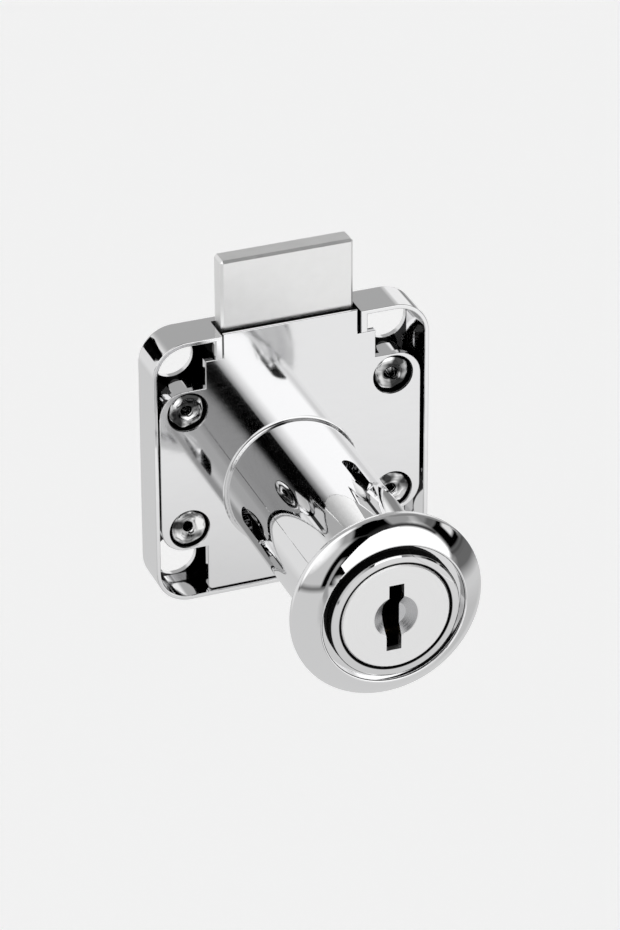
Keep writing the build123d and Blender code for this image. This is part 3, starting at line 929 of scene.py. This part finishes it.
# %% Running a tree and keeping its mesh
def grow(name, tree, values):
    """Runs a tree with these input values and gives a plain mesh object at the origin."""
    host = bpy.data.objects.new(name + "_host", bpy.data.meshes.new(name + "_host"))
    bpy.context.scene.collection.objects.link(host)
    modifier = host.modifiers.new("grow", "NODES")
    modifier.node_group = tree
    for item in tree.interface.items_tree:
        if item.in_out == "INPUT" and item.name in values:
            modifier[item.identifier] = values[item.name]
    bpy.context.view_layer.update()
    evaluated = host.evaluated_get(bpy.context.evaluated_depsgraph_get())
    mesh = bpy.data.meshes.new_from_object(evaluated)
    mesh.name = name
    host.modifiers.remove(modifier)
    bpy.data.objects.remove(host)
    piece = bpy.data.objects.new(name, mesh)
    bpy.context.scene.collection.objects.link(piece)
    print(name, "has", len(mesh.polygons), "faces")
    return piece


# %% [markdown]
# Each coil takes the box of the sleeve that it replaces. One end stands on the plug and the other
# presses on a wafer, so the coil is blended between the two: it stretches and shortens as the wafer
# slides, and turns with the plug. The six wafers slide together, so the whole row is blended
# between the plug and the first wafer.

# %% Sizes of a coil
def coil_in(low, high, wire_radius):
    """Sizes of a coil that fills the box of its sleeve."""
    middle = (low + high) / 2
    return {
        "Coil radius": (high.x - low.x) / 2 - wire_radius,
        "Wire radius": wire_radius,
        "Height": high.z - low.z - 2 * wire_radius,
        "First foot": Vector((middle.x, middle.y, low.z + wire_radius)),
        "Finish": wire,
    }


print("the coils are wound from", wire.name)

# %% Springs of the wafers
WIRE_RADIUS = 0.12 * MM
WAFER_TURNS = 8.0
wafer_low, wafer_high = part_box("wafer_spring_1")
next_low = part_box("wafer_spring_2")[0]
wafer_coil = coil_in(wafer_low, wafer_high, WIRE_RADIUS)
pitch = Vector((0, next_low.y - wafer_low.y, 0))
wafer_coils = grow(
    "wafer_coils", coil_tree, {**wafer_coil, "Turns": WAFER_TURNS, "Count": 6, "Step": pitch}
)
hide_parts(*[f"wafer_spring_{number}" for number in range(1, 7)])
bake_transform(wafer_coils)
print("wafer springs are", round(pitch.y / MM, 2), "mm apart")

# %% Spring of the retaining wafer
STRONG_WIRE_RADIUS = 0.18 * MM
STRONG_TURNS = 5.0
low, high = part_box("retainer_spring")
strong_coil = coil_in(low, high, STRONG_WIRE_RADIUS)
retainer_coil = grow(
    "retainer_coil", coil_tree, {**strong_coil, "Turns": STRONG_TURNS, "Count": 1}
)
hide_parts("retainer_spring")
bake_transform(retainer_coil)
print("the strong coil is", round(strong_coil["Height"] / MM, 2), "mm high")

# %% [markdown]
# The cover is held by four hollow posts of the tray, whose ends are spun over in the seats.
# Spinning squeezes the soft zinc outwards into an uneven bead, with lumps and folds that catch the
# light. The solids have a plain round head there. The bead could be sculpted by hand, four times
# over. Here it is a ring that is repeated in the four seats, and a noise then pushes its surface in
# and out. The noise is read at each point's own place, so no two heads are alike.

# %% Inputs of the bead tree
BEAD_INPUTS = {
    "Ring radius": "Float",
    "Bead radius": "Float",
    "Flatness": "Float",
    "Lumps per metre": "Float",
    "Lump height": "Float",
    "Spacing X": "Float",
    "Spacing Z": "Float",
    "Middle": "Vector",
    "Seed": "Int",
    "Finish": "Material",
}
bead_tree, given = new_tree("spun_beads", BEAD_INPUTS)
print("the beads have", len(BEAD_INPUTS), "inputs")

# %% One plain bead
POINTS_ROUND_THE_RING = 96
POINTS_ROUND_THE_BEAD = 32
UPRIGHT = (math.pi / 2, 0, 0)
ring = step(
    bead_tree,
    "GeometryNodeCurvePrimitiveCircle",
    Resolution=POINTS_ROUND_THE_RING,
    Radius=given["Ring radius"],
)
section = step(
    bead_tree,
    "GeometryNodeCurvePrimitiveCircle",
    Resolution=POINTS_ROUND_THE_BEAD,
    Radius=given["Bead radius"],
)
bead = step(bead_tree, "GeometryNodeCurveToMesh", Curve=ring, Profile_Curve=section)
squeeze = step(bead_tree, "ShaderNodeCombineXYZ", X=1.0, Y=1.0, Z=given["Flatness"])
flat_bead = step(bead_tree, "GeometryNodeTransform", Geometry=bead, Scale=squeeze)
print("one bead has", POINTS_ROUND_THE_RING * POINTS_ROUND_THE_BEAD, "faces")

# %% Four beads in their seats
seats = step(
    bead_tree,
    "GeometryNodeMeshGrid",
    Size_X=given["Spacing X"],
    Size_Y=given["Spacing Z"],
    Vertices_X=2,
    Vertices_Y=2,
)
seats_upright = step(
    bead_tree,
    "GeometryNodeTransform",
    Geometry=seats,
    Translation=given["Middle"],
    Rotation=UPRIGHT,
)
heads = step(
    bead_tree,
    "GeometryNodeInstanceOnPoints",
    Points=seats_upright,
    Instance=flat_bead,
    Rotation=UPRIGHT,
)
real = step(bead_tree, "GeometryNodeRealizeInstances", Geometry=heads)
print("the seats are", round(2 * POST_X / MM, 1), "by", round(2 * POST_Z / MM, 1), "mm apart")

# %% Lumps on the beads
lumps = step(
    bead_tree,
    "ShaderNodeTexNoise",
    noise_dimensions="4D",
    Vector=step(bead_tree, "GeometryNodeInputPosition"),
    W=given["Seed"],
    Scale=given["Lumps per metre"],
    Detail=1.2,
)
NOISE_MIDDLE = 0.5
centred = maths(bead_tree, "SUBTRACT", lumps, NOISE_MIDDLE)
push = maths(bead_tree, "MULTIPLY", centred, given["Lump height"])
outwards = vector_maths(
    bead_tree, "SCALE", step(bead_tree, "GeometryNodeInputNormal"), push
)
lumpy = step(bead_tree, "GeometryNodeSetPosition", Geometry=real, Offset=outwards)
close_tree(bead_tree, lumpy, given["Finish"])

# %% The spun heads
HEAD_Y = 1.35 * MM
spun_heads = grow(
    "spun_heads",
    bead_tree,
    {
        "Ring radius": 1.72 * MM,
        "Bead radius": 0.95 * MM,
        "Flatness": 0.6,
        "Lumps per metre": 380.0,
        "Lump height": 1.0 * MM,
        "Spacing X": 2 * POST_X,
        "Spacing Z": 2 * POST_Z,
        "Middle": Vector((0, HEAD_Y, TRAY_CENTRE_Z)),
        "Seed": 3,
        "Finish": tray,
    },
)
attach(spun_heads, "lock_case")

# %% [markdown]
# The floor is a wide sheet of pale paper, well below the lock. Lit by the studio alone it would
# come out mid grey. It gets a little light of its own, so it is as pale as the background, and the
# shadow on it still shows. The chrome doesn't mirror the floor, because the cards are hung where
# its image would be.

# %% Sheet of the floor
FLOOR = -200 * MM
REACH = 6.0
CORNERS = ((-REACH, -REACH), (REACH, -REACH), (REACH, REACH), (-REACH, REACH))
sheet = bpy.data.meshes.new("floor")
sheet.from_pydata([(x, y, FLOOR) for x, y in CORNERS], [], [(0, 1, 2, 3)])
floor = bpy.data.objects.new("floor", sheet)
bpy.context.scene.collection.objects.link(floor)
floor.visible_glossy = False
print("the floor is", round(-FLOOR / MM), "mm below the barrel")

# %% Paper of the floor
PAPER_TONE = grey(0.88)
PAPER_GLOW = 0.37
FIBRE_DEPTH = 0.05 * MM
paper, tree, shader, place = new_finish("paper", PAPER_TONE, 0.9, metallic=0.0)
seen = rays_of(tree, "Camera", "Transmission", "Glossy")
shader.inputs["Emission Color"].default_value = (1, 1, 1, 1)
tree.links.new(maths(tree, "MULTIPLY", seen, PAPER_GLOW), shader.inputs["Emission Strength"])
fibres = noise(tree, place, 900, detail=3.0)
relief(tree, shader, fibres, FIBRE_DEPTH, strength=0.2)
sheet.materials.append(paper)
print("paper glows at", PAPER_GLOW)

# %% [markdown]
# Last comes the plain colour transform, which shows each tone as it was set.

# %% Look
bpy.context.scene.view_settings.view_transform = "Standard"
